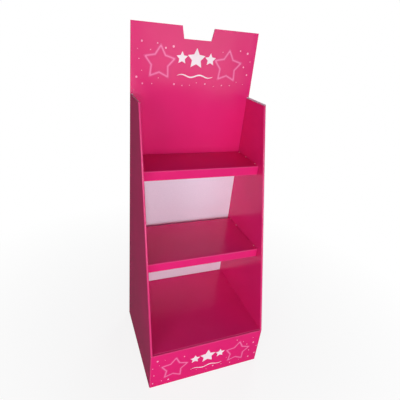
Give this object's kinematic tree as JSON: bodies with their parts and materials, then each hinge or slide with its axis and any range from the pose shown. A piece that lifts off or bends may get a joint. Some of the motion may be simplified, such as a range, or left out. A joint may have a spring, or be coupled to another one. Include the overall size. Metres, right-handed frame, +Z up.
{
  "type": "cardboard display stand",
  "caption": "Free-standing cardboard shop display with raked open front, stepped shelves between double-wall sides, a boxed plinth and a tall header card with a finger notch.",
  "frame": {"origin": "middle of the footprint on the floor", "axes": "+Z up, +X to the right seen from the front, the open front faces -Y"},
  "size_m": [0.45, 0.4, 1.205],
  "materials": {
    "printed_board": "printed pink and gloss laminated outside, plain white inside",
    "plain_board": "uncoated white corrugated board"
  },
  "bodies": {
    "root": {"body_wrap": "printed_board", "header_card": "printed_board", "top_shelf": "printed_board", "middle_shelf": "printed_board", "base_tray": "printed_board", "base_rib_across": "plain_board", "base_rib_along": "plain_board"}
  },
  "joints": []
}
